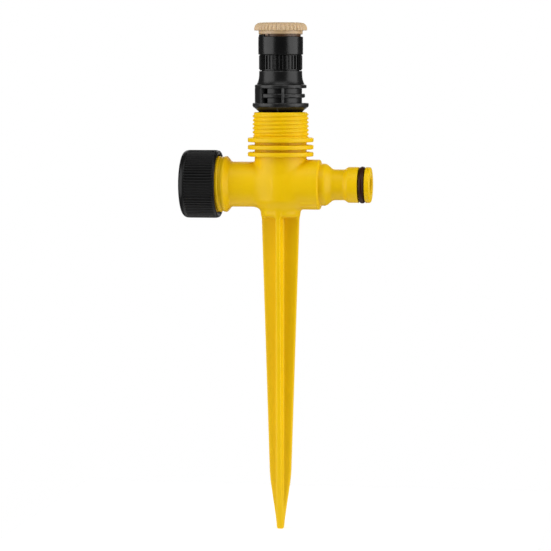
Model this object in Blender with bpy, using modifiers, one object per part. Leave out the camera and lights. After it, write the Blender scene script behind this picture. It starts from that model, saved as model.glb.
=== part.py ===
"""Lawn spray sprinkler on a ground spike.

A yellow one-piece moulding carries a cross-shaped ground spike, a push-on hose
spigot, a capped side port and an upright threaded socket. A black riser screws
into the socket, and a spray nozzle with an adjustable arc screws onto the riser.

Blender works in metres with +Z up. The dimensions below are millimetres, scaled
by MM. The origin is on the spike's axis at soil level, +X points out of the hose
spigot and -Y is the front. Heights on the upright are counted from the arms'
axis, and lengths on an arm from the upright's axis.
"""

import math

import bmesh
import bpy
from mathutils import Matrix, Vector

MM = 0.001
GAP = 0.3
SEGMENTS = 32
FINE_SEGMENTS = 36
THREAD_STEPS = 18
MERGE = 1e-6
OVERLAP = 1.0

ARMS_ABOVE_SOIL = 30.0

# Threads of the socket and the side port
THREAD_PITCH = 1.814
THREAD_CREST_R = 12.8
THREAD_ROOT_R = 11.8

# Upright tube with its socket
SOCKET_TOP = 32.9
SOCKET_BORE_R = 10.5
SOCKET_FLOOR = 20.0
SOCKET_THREAD_START = 22.25
SOCKET_THREAD_TURNS = 5.367
SOCKET_THREAD_ANGLE = -39.2
FLANGE_R = 15.0
FLANGE_HEIGHTS = (20.3, 17.0, 13.8)
FLANGE_HALF = 1.0
THREAD_RING_R = 12.95           # plain ring under the thread's first turn
THREAD_RING_RISE = 0.4
FLANGE_EDGE = 0.3
TUBE_R = 11.85
TUBE_FOOT_R = 8.8
TUBE_TAPER_TOP = -6.5
TUBE_TAPER_FOOT = -12.6
TUBE_END = -14.7
CHAMBER_R = 8.3
CHAMBER_FLOOR = -8.4

# Side port
PORT_R = 10.3
PORT_COLLAR = 24.7
PORT_END = 41.0
PORT_BORE_R = 8.1
PORT_THREAD_START = 26.6
PORT_THREAD_TURNS = 7.2

# Hose spigot
SHOULDER_R = 11.4
SHOULDER_END = 18.4
STEP_R = 9.6
STEP_END = 21.0
NECK_R = 7.0
NECK_START = 24.6
NECK_END = 29.6
NOSE_R = 8.15
NOSE_START = 31.3
NOSE_END = 41.6
NOSE_EDGE = 1.4
SPIGOT_BORE_R = 4.5
RING_AT = 37.6
RING_R = 7.3
RING_HALF_WIDTH = 1.3
RING_HALF_DEPTH = 1.1

# Ground spike: half widths of its wings
SPIKE_TOP = -9.0
WING_TOP_R = 8.7
WING_FOOT = -134.6
WING_FOOT_R = 4.9
WING_THICKNESS = 2.3
TIP = -158.7
TIP_R = 1.3

# End cap on the side port
CAP_R = 15.55
CAP_RIM = 28.3
CAP_FACE = 45.1
CAP_EDGE = 2.7
CAP_RIM_EDGE = 2.3
CAP_WALL = 2.0
CAP_BORE_R = THREAD_CREST_R + GAP
CAP_WASHER_R = 12.5

# Riser
RISER_TOP = 58.6
RISER_TOWER_R = 7.9
RISER_SHOULDER = 51.6
RISER_SHOULDER_R = 9.8
RISER_BORE_R = 5.6
RISER_FOOT_BORE_R = 6.3
RISER_FLANGE_R = 11.8
RISER_FLANGE = (45.4, 43.7)
RISER_RING_R = 11.1
RISER_RING = (41.3, 39.4)
RISER_WAIST_R = 9.75
RISER_BASE_R = 12.8
RISER_BASE = (37.1, 35.4)
RISER_SHANK_R = 10.0
RISER_ROOT_R = 9.3
RISER_END = 20.5
SEAL_GROOVE = (32.2, 30.0)
SEAL_GROOVE_R = 8.3
SEAL_R = 9.4
SEAL_SECTION_R = 0.8
RIB_WIDTH = 1.4
RIB_R = 11.45
RIB_ANGLES = (14.5, 194.5)
PAD_R = 11.75
PAD_ANGLES = (-112.5, -38.5)

# Nozzle sleeve
SLEEVE_R = 10.2
SLEEVE_TOP = 67.1
SLEEVE_BORE_R = 9.35
GRIP_R = 9.9
GRIP_TOP = 58.9
GRIP_FOOT = 52.3
LIP_R = 9.55
SHELF = (62.2, 61.0)
SHELF_BORE_R = 5.0
STOP_ANGLES = (-67.5, -38.5)
STOP_TOP = 68.0

# Arc adjusting cap
DISC_R = 12.0
DISC_TOP = 73.5
DISC_FOOT = 69.9
DISC_EDGE = 1.6
DISH_R = 8.6
DISH_DEPTH = 0.5
COLLAR_R = 10.0
COLLAR_FOOT = 68.3
SKIRT_R = 8.5
SKIRT_FOOT = 64.9
ARC_GROOVE = (67.1, 65.6)
ARC_GROOVE_R = 7.85
ARC_RING_R = 8.6
ARC_RING_SECTION_R = 0.45
CAVITY_R = 6.6
CAVITY_TOP = 71.6
POST_R = 3.0
LUG_ANGLES = (-36.0, -26.0)
LUG_FOOT = 67.4

# Flow screw, throttle plug and core
SCREW_HEAD_R = 2.2
SCREW_HEAD = (72.9, 71.9)
SCREW_R = 1.25
SCREW_END = 47.0
SCREW_SLOT = 0.6
SCREW_HOLE_R = SCREW_R + GAP
CORE_R = 9.0
CORE = (64.5, 62.5)
CORE_BUSH_R = 2.6
CORE_BUSH_END = 58.0
PORT_HOLE_R = 0.9
PORT_CIRCLE_R = 3.9
PORT_COUNT = 4
PLUG_R = 4.2
PLUG = (54.0, 49.5)

# Filter basket and the washer above its flange
BASKET_R = 5.2
BASKET_WALL = 0.6
BASKET_END = 30.0
FILTER_FLANGE_R = 7.6
FILTER_FLANGE = (59.6, 58.9)
WASHER_R = 7.7
WASHER_BORE_R = 5.4
WASHER = (60.7, 59.9)
SLOT_WIDTH = 1.2
SLOT_COUNT = 4
SLOT_MARGIN = 4.0


# ---------------------------------------------------------------- scene set-up

def clear_scene():
    for old in list(bpy.data.objects):
        bpy.data.objects.remove(old, do_unlink=True)


def new_collection(name):
    collection = bpy.data.collections.new(name)
    bpy.context.scene.collection.children.link(collection)
    return collection


clear_scene()
PARTS = new_collection("lawn_spray_sprinkler")
TOOLS = new_collection("cutters")


def plastic(name, color, roughness, metallic=0.0):
    material = bpy.data.materials.new(name)
    material.use_nodes = True
    shader = material.node_tree.nodes["Principled BSDF"]
    shader.inputs["Base Color"].default_value = (*color, 1.0)
    shader.inputs["Roughness"].default_value = roughness
    shader.inputs["Metallic"].default_value = metallic
    return material


YELLOW = plastic("yellow_moulding", (0.75, 0.47, 0.006), 0.38)
BLACK = plastic("black_moulding", (0.012, 0.012, 0.013), 0.42)
TAN = plastic("tan_moulding", (0.72, 0.50, 0.31), 0.45)
RUBBER = plastic("seal_rubber", (0.02, 0.012, 0.01), 0.6)
MESH_PLASTIC = plastic("filter_plastic", (0.55, 0.56, 0.57), 0.5)
STEEL = plastic("screw_steel", (0.6, 0.6, 0.62), 0.3, metallic=1.0)


def frame(name, rotation=(0.0, 0.0, 0.0)):
    """An empty on the tee's centre, whose +Z runs along one of its axes."""
    empty = bpy.data.objects.new(name, None)
    empty.location = (0.0, 0.0, ARMS_ABOVE_SOIL * MM)
    empty.rotation_euler = rotation
    PARTS.objects.link(empty)
    return empty


UPRIGHT = frame("upright_axis")
SPIGOT = frame("spigot_axis", (0.0, math.radians(90), 0.0))
PORT = frame("port_axis", (0.0, math.radians(-90), 0.0))


# ------------------------------------------------------------- modelling tools

def add_object(name, mesh, parent, material=None):
    """Link a part, or a tool shape when it has no material."""
    mesh.shade_smooth()
    mesh.set_sharp_from_angle(angle=math.radians(35))
    obj = bpy.data.objects.new(name, mesh)
    obj.parent = parent
    if material:
        mesh.materials.clear()
        mesh.materials.append(material)
        PARTS.objects.link(obj)
    else:
        TOOLS.objects.link(obj)
        obj.hide_render = True
        obj.display_type = "WIRE"
    return obj


def evaluated_mesh(obj):
    """The object's mesh with its modifiers applied; the object is removed."""
    graph = bpy.context.evaluated_depsgraph_get()
    mesh = bpy.data.meshes.new_from_object(obj.evaluated_get(graph))
    bpy.data.objects.remove(obj, do_unlink=True)
    return mesh


def turned(name, profile, parent, material=None, closed=False, segments=SEGMENTS):
    """Turn a profile of (radius, height) about Z, its outer side from top to bottom."""
    mesh = bpy.data.meshes.new(name)
    points = [(radius * MM, 0.0, height * MM) for radius, height in profile]
    edges = [(i, i + 1) for i in range(len(points) - 1)]
    if closed:
        edges.append((len(points) - 1, 0))
    mesh.from_pydata(points, edges, [])
    outline = bpy.data.objects.new(name + "_outline", mesh)
    TOOLS.objects.link(outline)
    screw = outline.modifiers.new("turn", "SCREW")
    screw.steps = segments
    screw.render_steps = segments
    screw.use_merge_vertices = True
    screw.merge_threshold = MERGE
    return add_object(name, evaluated_mesh(outline), parent, material)


def quarter(radius, height, edge, start, steps=3):
    """Points of a rounded corner about (radius, height), from start degrees down 90."""
    angles = [math.radians(start - 90.0 * i / steps) for i in range(steps + 1)]
    return [(radius + edge * math.cos(a), height + edge * math.sin(a)) for a in angles]


def oval(radius, height, half_depth, half_width, steps=8):
    """A closed oval section, clockwise so that it turns outside out."""
    angles = [-2.0 * math.pi * i / steps for i in range(steps)]
    return [(radius + half_depth * math.cos(a), height + half_width * math.sin(a)) for a in angles]


def spun(name, section, parent, sweep, start=0.0, rise=0.0, steps=8):
    """Spin a filled (radius, height) section about Z, by degrees, with an optional rise."""
    bm = bmesh.new()
    turn = Matrix.Rotation(math.radians(start), 4, "Z")
    corners = [bm.verts.new(turn @ Vector((r * MM, 0.0, h * MM))) for r, h in section]
    bm.faces.new(corners)
    bmesh.ops.spin(
        bm, geom=bm.verts[:] + bm.edges[:] + bm.faces[:], cent=(0.0, 0.0, 0.0),
        axis=(0.0, 0.0, 1.0), dvec=(0.0, 0.0, rise * MM / steps),
        angle=math.radians(sweep), steps=steps, use_duplicate=False)
    bmesh.ops.recalc_face_normals(bm, faces=bm.faces)
    mesh = bpy.data.meshes.new(name)
    bm.to_mesh(mesh)
    bm.free()
    return add_object(name, mesh, parent)


def thread(name, crest_r, root_r, start, turns, parent, start_angle=0.0):
    """The ridge of a right-hand thread, with its foot sunk in the wall."""
    foot_r = root_r - GAP
    foot_half = 0.44 * THREAD_PITCH
    crest_half = 0.15 * THREAD_PITCH
    section = [
        (foot_r, start - foot_half),
        (crest_r, start - crest_half),
        (crest_r, start + crest_half),
        (foot_r, start + foot_half),
    ]
    return spun(
        name, section, parent, sweep=360.0 * turns, start=start_angle,
        rise=THREAD_PITCH * turns, steps=round(THREAD_STEPS * turns))


def sector(name, radii, heights, angles, parent):
    """A block of a ring; angles run from the front towards +X."""
    inner, outer = radii
    top, bottom = heights
    section = [(inner, bottom), (outer, bottom), (outer, top), (inner, top)]
    first, last = angles
    return spun(name, section, parent, sweep=last - first, start=first - 90.0)


def block(name, size, location, parent, angle=0.0):
    """A box, turned about Z by degrees after it is moved to its place."""
    bm = bmesh.new()
    bmesh.ops.create_cube(bm, size=1.0)
    bm.transform(Matrix.Diagonal((*(s * MM for s in size), 1.0)))
    bm.transform(Matrix.Translation(Vector(location) * MM))
    bm.transform(Matrix.Rotation(math.radians(angle), 4, "Z"))
    mesh = bpy.data.meshes.new(name)
    bm.to_mesh(mesh)
    bm.free()
    return add_object(name, mesh, parent)


def plate(name, outline, thickness, angle):
    """A flat outline in the XZ plane with a thickness, turned about Z by degrees."""
    curve = bpy.data.curves.new(name, "CURVE")
    curve.dimensions = "2D"
    curve.fill_mode = "BOTH"
    curve.extrude = thickness * MM / 2
    spline = curve.splines.new("POLY")
    spline.points.add(len(outline) - 1)
    for point, (x, z) in zip(spline.points, outline):
        point.co = (x * MM, z * MM, 0.0, 1.0)
    spline.use_cyclic_u = True
    shape = bpy.data.objects.new(name + "_outline", curve)
    TOOLS.objects.link(shape)
    mesh = evaluated_mesh(shape)
    upright = Matrix.Rotation(math.radians(90), 4, "X")
    mesh.transform(Matrix.Rotation(math.radians(angle), 4, "Z") @ upright)
    bm = bmesh.new()
    bm.from_mesh(mesh)
    bmesh.ops.remove_doubles(bm, verts=bm.verts, dist=MERGE)
    bmesh.ops.recalc_face_normals(bm, faces=bm.faces)
    bm.to_mesh(mesh)
    bm.free()
    return add_object(name, mesh, UPRIGHT)


def combine(target, tool, operation):
    modifier = target.modifiers.new(tool.name, "BOOLEAN")
    modifier.operation = operation
    modifier.solver = "EXACT"
    modifier.object = tool


def join(target, *tools):
    for tool in tools:
        combine(target, tool, "UNION")


def cut(target, *tools):
    for tool in tools:
        combine(target, tool, "DIFFERENCE")


# ------------------------------------------------------------ yellow moulding

def flange_profile(height):
    top = height + FLANGE_HALF
    bottom = height - FLANGE_HALF
    return [
        (THREAD_ROOT_R, top),
        (FLANGE_R - FLANGE_EDGE, top),
        (FLANGE_R, top - FLANGE_EDGE),
        (FLANGE_R, bottom + FLANGE_EDGE),
        (FLANGE_R - FLANGE_EDGE, bottom),
        (THREAD_ROOT_R, bottom),
    ]


def taper_profile(steps=5):
    """The tube's side from its full radius down to its foot, an even S curve."""
    points = []
    for i in range(steps + 1):
        t = i / steps
        share = 0.5 + 0.5 * math.cos(math.pi * t)
        height = TUBE_TAPER_TOP + (TUBE_TAPER_FOOT - TUBE_TAPER_TOP) * t
        points.append((TUBE_FOOT_R + (TUBE_R - TUBE_FOOT_R) * share, height))
    return points


def upright_profile():
    lip = 0.25
    shoulder = FLANGE_HEIGHTS[0] + FLANGE_HALF
    profile = [
        (0.0, SOCKET_TOP),
        (THREAD_ROOT_R - lip, SOCKET_TOP),
        (THREAD_ROOT_R, SOCKET_TOP - lip),
        (THREAD_ROOT_R, shoulder + THREAD_RING_RISE + 0.4),
        (THREAD_RING_R, shoulder + THREAD_RING_RISE),
        (THREAD_RING_R, shoulder),
    ]
    profile += flange_profile(FLANGE_HEIGHTS[0])[1:]
    for height in FLANGE_HEIGHTS[1:]:
        profile += flange_profile(height)
    profile += taper_profile()
    dome = TUBE_TAPER_FOOT - TUBE_END
    profile += quarter(TUBE_FOOT_R - dome, TUBE_TAPER_FOOT, dome, 0.0)[1:]
    return profile + [(0.0, TUBE_END)]


def port_arm():
    rise = THREAD_CREST_R - PORT_R
    profile = [
        (0.0, PORT_END),
        (THREAD_ROOT_R - 0.4, PORT_END),
        (THREAD_ROOT_R, PORT_END - 0.4),
        (THREAD_ROOT_R, PORT_COLLAR + 1.3),
        (THREAD_CREST_R, PORT_COLLAR + 0.6),
        (THREAD_CREST_R, PORT_COLLAR),
        (PORT_R, PORT_COLLAR - 0.8 * rise),
        (PORT_R, -OVERLAP),
        (0.0, -OVERLAP),
    ]
    return turned("port_arm_solid", profile, PORT)


def spigot_arm():
    groove_half = RING_HALF_WIDTH + GAP
    groove_r = RING_R - RING_HALF_DEPTH - GAP
    profile = [(0.0, NOSE_END)]
    profile += quarter(NOSE_R - NOSE_EDGE, NOSE_END - NOSE_EDGE, NOSE_EDGE, 90.0)
    profile += [
        (NOSE_R, RING_AT + groove_half),
        (groove_r, RING_AT + groove_half),
        (groove_r, RING_AT - groove_half),
        (NOSE_R, RING_AT - groove_half),
        (NOSE_R, NOSE_START),
        (NECK_R, NECK_END),
        (NECK_R, NECK_START),
        (STEP_R, STEP_END),
        (STEP_R, SHOULDER_END),
        (SHOULDER_R - 0.6, SHOULDER_END),
        (SHOULDER_R, SHOULDER_END - 0.6),
        (SHOULDER_R, -2 * OVERLAP),
        (0.0, -2 * OVERLAP),
    ]
    return turned("spigot_arm_solid", profile, SPIGOT)


def spike_outline():
    """Half outline down one side, mirrored back up the other."""
    right = [
        (WING_TOP_R - GAP, SPIKE_TOP),
        (WING_TOP_R, TUBE_END),
        (WING_FOOT_R, WING_FOOT),
        (TIP_R, TIP),
    ]
    return right + [(-x, z) for x, z in reversed(right)]


def bore(name, radius, top, bottom, parent):
    return turned(name, [(0.0, top), (radius, top), (radius, bottom), (0.0, bottom)], parent)


def build_spike_body():
    body = turned("spike_body", upright_profile(), UPRIGHT, YELLOW)
    join(body, port_arm(), spigot_arm())
    for angle in (0.0, 90.0):
        join(body, plate(f"spike_plate_{angle:.0f}", spike_outline(), WING_THICKNESS, angle))
    join(
        body,
        thread("socket_thread", THREAD_CREST_R, THREAD_ROOT_R, SOCKET_THREAD_START,
               SOCKET_THREAD_TURNS, UPRIGHT, SOCKET_THREAD_ANGLE),
        thread("port_thread", THREAD_CREST_R, THREAD_ROOT_R, PORT_THREAD_START,
               PORT_THREAD_TURNS, PORT),
    )
    cut(
        body,
        bore("socket_bore", SOCKET_BORE_R, SOCKET_TOP + 1.0, SOCKET_FLOOR, UPRIGHT),
        bore("chamber_bore", CHAMBER_R, SOCKET_FLOOR + 1.0, CHAMBER_FLOOR, UPRIGHT),
        bore("port_bore", PORT_BORE_R, PORT_END + 1.0, OVERLAP, PORT),
        bore("spigot_bore", SPIGOT_BORE_R, NOSE_END + 1.0, 0.0, SPIGOT),
    )


def build_spigot_o_ring():
    section = oval(RING_R, RING_AT, RING_HALF_DEPTH, RING_HALF_WIDTH)
    turned("spigot_o_ring", section, SPIGOT, RUBBER, closed=True)


# -------------------------------------------------------------------- end cap

def build_end_cap():
    floor = CAP_FACE - CAP_WALL
    rim_r = CAP_R - CAP_RIM_EDGE
    profile = [(0.0, CAP_FACE)]
    profile += quarter(CAP_R - CAP_EDGE, CAP_FACE - CAP_EDGE, CAP_EDGE, 90.0)
    profile += quarter(rim_r, CAP_RIM + CAP_RIM_EDGE, CAP_RIM_EDGE, 0.0)
    profile += [(CAP_BORE_R, CAP_RIM + 0.1), (CAP_BORE_R, floor), (0.0, floor)]
    turned("end_cap", profile, PORT, BLACK, segments=FINE_SEGMENTS)


def ring_section(inner, outer, top, bottom):
    return [(outer, top), (outer, bottom), (inner, bottom), (inner, top)]


def build_end_cap_washer():
    top = CAP_FACE - CAP_WALL - GAP
    section = ring_section(PORT_BORE_R, CAP_WASHER_R, top, PORT_END + GAP)
    turned("end_cap_washer", section, PORT, RUBBER, closed=True)


# ---------------------------------------------------------------------- riser

def flare_profile(steps=5):
    """The flare under the shoulder, slightly hollow, down to the flange's edge."""
    top = RISER_SHOULDER
    bottom = RISER_FLANGE[0]
    foot_r = RISER_FLANGE_R - 0.3
    points = []
    for i in range(steps + 1):
        t = i / steps
        points.append((RISER_SHOULDER_R + (foot_r - RISER_SHOULDER_R) * t ** 2.2, top + (bottom - top) * t))
    return points


def riser_profile():
    edge = 0.5
    base_top, base_foot = RISER_BASE
    groove_top, groove_foot = SEAL_GROOVE
    profile = [(RISER_TOWER_R, RISER_TOP), (RISER_TOWER_R, RISER_SHOULDER)]
    profile += flare_profile()
    profile += [
        (RISER_FLANGE_R, RISER_FLANGE[0]),
        (RISER_FLANGE_R, RISER_FLANGE[1]),
        (RISER_WAIST_R, RISER_FLANGE[1]),
        (RISER_WAIST_R, RISER_RING[0]),
        (RISER_RING_R, RISER_RING[0]),
        (RISER_RING_R, RISER_RING[1]),
        (RISER_WAIST_R, RISER_RING[1]),
        (RISER_WAIST_R, base_top),
        (RISER_BASE_R - edge, base_top),
        (RISER_BASE_R, base_top - edge),
        (RISER_BASE_R, base_foot + edge),
        (RISER_BASE_R - edge, base_foot),
        (RISER_SHANK_R, SOCKET_TOP + GAP),
        (RISER_SHANK_R, groove_top),
        (SEAL_GROOVE_R, groove_top),
        (SEAL_GROOVE_R, groove_foot),
        (RISER_SHANK_R, groove_foot),
        (RISER_SHANK_R, groove_foot - edge),
        (RISER_ROOT_R, groove_foot - 2 * edge),
        (RISER_ROOT_R, RISER_END + edge),
        (RISER_ROOT_R - edge, RISER_END),
        (RISER_FOOT_BORE_R, RISER_END),
        (RISER_FOOT_BORE_R, groove_foot - edge),
        (RISER_BORE_R, groove_foot + edge),
        (RISER_BORE_R, RISER_TOP),
    ]
    return profile


def build_riser():
    riser = turned("riser_adapter", riser_profile(), UPRIGHT, BLACK, closed=True)
    heights = (RISER_FLANGE[1] + GAP, RISER_BASE[0] - GAP)
    inner = RISER_WAIST_R - GAP
    join(riser, sector("riser_pad", (inner, PAD_R), heights, PAD_ANGLES, UPRIGHT))
    depth = RIB_R - inner
    for angle in RIB_ANGLES:
        size = (RIB_WIDTH, depth, heights[0] - heights[1])
        place = (0.0, -(inner + depth / 2), sum(heights) / 2)
        join(riser, block(f"riser_rib_{angle:.0f}", size, place, UPRIGHT, angle))


def build_riser_seal_ring():
    height = sum(SEAL_GROOVE) / 2
    section = oval(SEAL_R, height, SEAL_SECTION_R, SEAL_SECTION_R)
    turned("riser_seal_ring", section, UPRIGHT, RUBBER, closed=True, segments=24)


def build_filter_screen():
    flange_top, flange_foot = FILTER_FLANGE
    inner = BASKET_R - BASKET_WALL
    floor = BASKET_END + BASKET_WALL
    profile = [
        (FILTER_FLANGE_R, flange_top),
        (FILTER_FLANGE_R, flange_foot),
        (BASKET_R, flange_foot),
        (BASKET_R, BASKET_END),
        (0.0, BASKET_END),
    ]
    inside = [(0.0, floor), (inner, floor), (inner, flange_top)]
    basket = turned("filter_screen", profile + inside + [profile[0]], UPRIGHT, MESH_PLASTIC, segments=24)
    top = PLUG[1] - GAP
    bottom = floor + SLOT_MARGIN
    for i in range(SLOT_COUNT):
        size = (SLOT_WIDTH, 3 * BASKET_R, top - bottom)
        place = (0.0, 0.0, (top + bottom) / 2)
        cut(basket, block(f"filter_slot_{i}", size, place, UPRIGHT, 180.0 * i / SLOT_COUNT))


def build_nozzle_washer():
    section = ring_section(WASHER_BORE_R, WASHER_R, *WASHER)
    turned("nozzle_washer", section, UPRIGHT, RUBBER, closed=True, segments=24)


# --------------------------------------------------------------------- nozzle

def build_nozzle_body():
    thread_r = RISER_TOWER_R + GAP
    bottom = RISER_SHOULDER + GAP
    shelf_top, shelf_foot = SHELF
    profile = [
        (SLEEVE_R, SLEEVE_TOP),
        (SLEEVE_R, GRIP_TOP),
        (GRIP_R, GRIP_TOP),
        (GRIP_R, GRIP_FOOT),
        (LIP_R, GRIP_FOOT),
        (LIP_R, bottom),
        (thread_r, bottom),
        (thread_r, shelf_foot),
        (SHELF_BORE_R, shelf_foot),
        (SHELF_BORE_R, shelf_top),
        (SLEEVE_BORE_R, shelf_top),
        (SLEEVE_BORE_R, SLEEVE_TOP),
    ]
    sleeve = turned("nozzle_body", profile, UPRIGHT, BLACK, closed=True)
    radii = (SLEEVE_BORE_R + 0.15, SLEEVE_R - 0.05)
    join(sleeve, sector("arc_stop", radii, (STOP_TOP, SLEEVE_TOP - GAP), STOP_ANGLES, UPRIGHT))


def build_arc_core():
    top, bottom = CORE
    profile = [
        (CORE_R, top),
        (CORE_R, bottom),
        (CORE_BUSH_R, bottom),
        (CORE_BUSH_R, CORE_BUSH_END),
        (SCREW_HOLE_R, CORE_BUSH_END),
        (SCREW_HOLE_R, top),
    ]
    core = turned("arc_core", profile, UPRIGHT, BLACK, closed=True, segments=24)
    for i in range(PORT_COUNT):
        hole = bore(f"water_port_{i}", PORT_HOLE_R, top + 1.0, bottom - 1.0, UPRIGHT)
        angle = 2.0 * math.pi * (i + 0.5) / PORT_COUNT
        hole.location = (PORT_CIRCLE_R * MM * math.cos(angle), PORT_CIRCLE_R * MM * math.sin(angle), 0.0)
        cut(core, hole)


def build_arc_adjust_cap():
    rim_r = DISC_R - DISC_EDGE
    dish = DISC_TOP - DISH_DEPTH
    seat = SCREW_HEAD[1] - GAP
    head_r = SCREW_HEAD_R + GAP
    profile = [(DISH_R, DISC_TOP)]
    profile += quarter(rim_r, DISC_TOP - DISC_EDGE, DISC_EDGE, 90.0)
    profile += [
        (DISC_R, DISC_FOOT),
        (COLLAR_R, DISC_FOOT),
        (COLLAR_R, COLLAR_FOOT),
        (SKIRT_R, COLLAR_FOOT),
        (SKIRT_R, ARC_GROOVE[0]),
        (ARC_GROOVE_R, ARC_GROOVE[0]),
        (ARC_GROOVE_R, ARC_GROOVE[1]),
        (SKIRT_R, ARC_GROOVE[1]),
        (SKIRT_R, SKIRT_FOOT),
        (CAVITY_R, SKIRT_FOOT),
        (CAVITY_R, CAVITY_TOP - GAP),
        (POST_R, CAVITY_TOP - GAP),
        (POST_R, SKIRT_FOOT),
        (SCREW_HOLE_R, SKIRT_FOOT),
        (SCREW_HOLE_R, seat),
        (head_r, seat),
        (head_r, dish),
        (DISH_R - DISH_DEPTH, dish),
    ]
    cap = turned("arc_adjust_cap", profile, UPRIGHT, TAN, closed=True)
    radii = (SLEEVE_BORE_R + 0.1, COLLAR_R - 0.1)
    join(cap, sector("arc_lug", radii, (COLLAR_FOOT + GAP, LUG_FOOT), LUG_ANGLES, UPRIGHT))


def build_arc_seal_ring():
    section = oval(ARC_RING_R, sum(ARC_GROOVE) / 2, ARC_RING_SECTION_R, ARC_RING_SECTION_R)
    turned("arc_seal_ring", section, UPRIGHT, RUBBER, closed=True, segments=24)


def build_flow_screw():
    top, seat = SCREW_HEAD
    profile = [
        (0.0, top),
        (SCREW_HEAD_R, top),
        (SCREW_HEAD_R, seat),
        (SCREW_R, seat),
        (SCREW_R, SCREW_END + 0.3),
        (SCREW_R - 0.3, SCREW_END),
        (0.0, SCREW_END),
    ]
    screw = turned("flow_screw", profile, UPRIGHT, STEEL, segments=24)
    size = (SCREW_SLOT, 3 * SCREW_HEAD_R, 2 * SCREW_SLOT)
    cut(screw, block("screw_slot", size, (0.0, 0.0, top), UPRIGHT, 35.0))


def build_throttle_plug():
    top, bottom = PLUG
    profile = [
        (PLUG_R - 1.6, top),
        (PLUG_R, top - 2.0),
        (PLUG_R, bottom + 0.8),
        (PLUG_R - 0.8, bottom),
        (SCREW_HOLE_R, bottom),
        (SCREW_HOLE_R, top),
    ]
    turned("throttle_plug", profile, UPRIGHT, MESH_PLASTIC, closed=True, segments=24)


build_spike_body()
build_spigot_o_ring()
build_end_cap()
build_end_cap_washer()
build_riser()
build_riser_seal_ring()
build_filter_screen()
build_nozzle_washer()
build_nozzle_body()
build_arc_core()
build_arc_adjust_cap()
build_arc_seal_ring()
build_flow_screw()
build_throttle_plug()
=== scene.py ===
"""Looks of the lawn spray sprinkler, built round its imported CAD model.

Lengths in the helpers are millimetres and become metres when a mesh is made.
Heights on the upright and lengths on an arm start at the tee's centre. Angles
are degrees, and on the upright they run from the front (-Y) towards +X.
"""

import math

import bmesh
import bpy
import numpy as np
from mathutils import Matrix, Vector


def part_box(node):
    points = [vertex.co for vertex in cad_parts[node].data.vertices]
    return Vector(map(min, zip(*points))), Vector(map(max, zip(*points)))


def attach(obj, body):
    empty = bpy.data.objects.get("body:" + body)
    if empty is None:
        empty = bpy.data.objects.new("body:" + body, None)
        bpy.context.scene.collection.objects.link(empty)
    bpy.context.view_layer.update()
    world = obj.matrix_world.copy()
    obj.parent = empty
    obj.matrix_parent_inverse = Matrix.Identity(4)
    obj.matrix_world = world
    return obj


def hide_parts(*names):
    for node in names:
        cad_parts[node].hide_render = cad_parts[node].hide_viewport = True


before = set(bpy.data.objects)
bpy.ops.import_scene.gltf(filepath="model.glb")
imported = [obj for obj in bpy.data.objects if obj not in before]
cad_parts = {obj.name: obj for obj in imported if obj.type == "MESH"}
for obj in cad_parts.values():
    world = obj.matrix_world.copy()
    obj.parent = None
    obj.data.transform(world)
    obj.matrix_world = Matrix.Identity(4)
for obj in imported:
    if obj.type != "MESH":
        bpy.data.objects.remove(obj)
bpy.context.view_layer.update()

MM = 0.001
MERGE = 1e-6    # points closer than this many metres are welded
SHARP = 50.0    # edges that turn by more degrees than this are shaded as edges

# ------------------------------------------------------ sizes read off the frame


def cad(node):
    """A CAD node's box as two arrays of millimetres."""
    low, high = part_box(node)
    return np.array(low) / MM, np.array(high) / MM


BODY_LOW, BODY_HIGH = cad("spike_body")
END_CAP_LOW, END_CAP_HIGH = cad("end_cap")
RING_LOW, RING_HIGH = cad("spigot_o_ring")
ARMS_Z = (RING_LOW[2] + RING_HIGH[2]) / 2
NOSE_END = BODY_HIGH[0]
TIP = BODY_LOW[2] - ARMS_Z
SOCKET_TOP = BODY_HIGH[2] - ARMS_Z
FLANGE_R = BODY_HIGH[1]
RING_AT = (RING_LOW[0] + RING_HIGH[0]) / 2
RING_OUTER_R = (RING_HIGH[2] - RING_LOW[2]) / 2
CAP_R = END_CAP_HIGH[1]
CAP_FACE = -END_CAP_LOW[0]
CAP_RIM = -END_CAP_HIGH[0]
DISC_TOP = cad("arc_adjust_cap")[1][2] - ARMS_Z
SCREW_TOP = cad("flow_screw")[1][2] - ARMS_Z

# -------------------------------------------------- sizes of the visible shapes

# Threads: the 3/4 inch one's pitch and radii, the fine ones' pitches, and depths.
PITCH = 1.814
RISER_PITCH = 0.94
SCREW_PITCH = 0.45
THREAD_R = 12.8
THREAD_ROOT_R = 12.2
THREAD_DEPTH = THREAD_R - THREAD_ROOT_R
END_CAP_THREAD_DEPTH = 0.5
SHANK_THREAD_DEPTH = 0.65
TOWER_THREAD_DEPTH = 0.32
SLEEVE_THREAD_DEPTH = 0.3
SCREW_THREAD_DEPTH = 0.14
SOCKET_THREAD_START = 22.45 - 10.5 * PITCH / 360.0
PORT_THREAD_START = 28.05

# Yellow moulding: tube, arms, flange rings, and the blades of the spike.
TUBE_R = 11.85
TUBE_FOOT_R = 8.75
TAPER_TOP = -6.5
TAPER_LENGTH = 6.1
DOME_FOOT = -14.8
PORT_R = 10.3
PORT_END = 41.0
PORT_BORE_R = 8.1
SHOULDER_R = 11.4
STEP_R = 9.6
NECK_R = 7.0
NOSE_R = 8.15
NOSE_BORE_R = 4.1
RING_GROOVE_HALF = 1.6
SOCKET_BORE_R = 10.5
SOCKET_FLOOR = 20.0
CHAMBER_R = 8.3
CHAMBER_FLOOR = -8.4
FLANGE_HEIGHTS = (20.3, 17.0, 13.8)
FLANGE_HALF = 1.0
WING_R = 8.7
WING_FOOT = -134.6
WING_FOOT_R = 4.9
TIP_R = 1.3
BLADE_HALF = 1.08
BLADE_DRAFT = 0.36    # how much thicker a blade is on each side at the axis
BLADE_SHARE = 0.92    # the most that a blade's half thickness is of its reach
SPIKE_TOP = -9.0
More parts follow.
